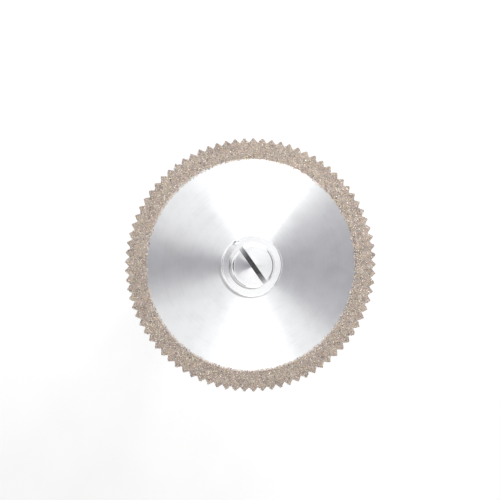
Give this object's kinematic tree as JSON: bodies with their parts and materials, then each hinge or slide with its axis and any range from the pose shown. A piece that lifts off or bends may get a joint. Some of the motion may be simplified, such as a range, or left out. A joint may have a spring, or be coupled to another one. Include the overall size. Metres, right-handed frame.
{
  "type": "mounted double-sided diamond disc",
  "caption": "Thin toothed steel disc with a diamond grit band on both faces, clamped by a slotted screw and washer to a straight handpiece mandrel.",
  "frame": {"origin": "centre of the shank's free end face", "axes": "+Z along the shank's axis from its free end to the disc, out of the screw head; +Y is the picture's up"},
  "size_m": [0.022, 0.022, 0.0445],
  "materials": {
    "disc_steel": "bright, finely brushed in circles round the hub",
    "diamond_grit": "rough beige-brown diamond grains set in a plated metal bond",
    "washer_steel": "bright turned steel",
    "screw_steel": "bright turned steel",
    "mandrel_steel": "ground and turned stainless steel"
  },
  "bodies": {
    "root": {"disc_blank": "disc_steel", "diamond_band": "diamond_grit", "hub_washer": "washer_steel", "clamp_screw": "screw_steel", "mandrel": "mandrel_steel"}
  },
  "joints": []
}
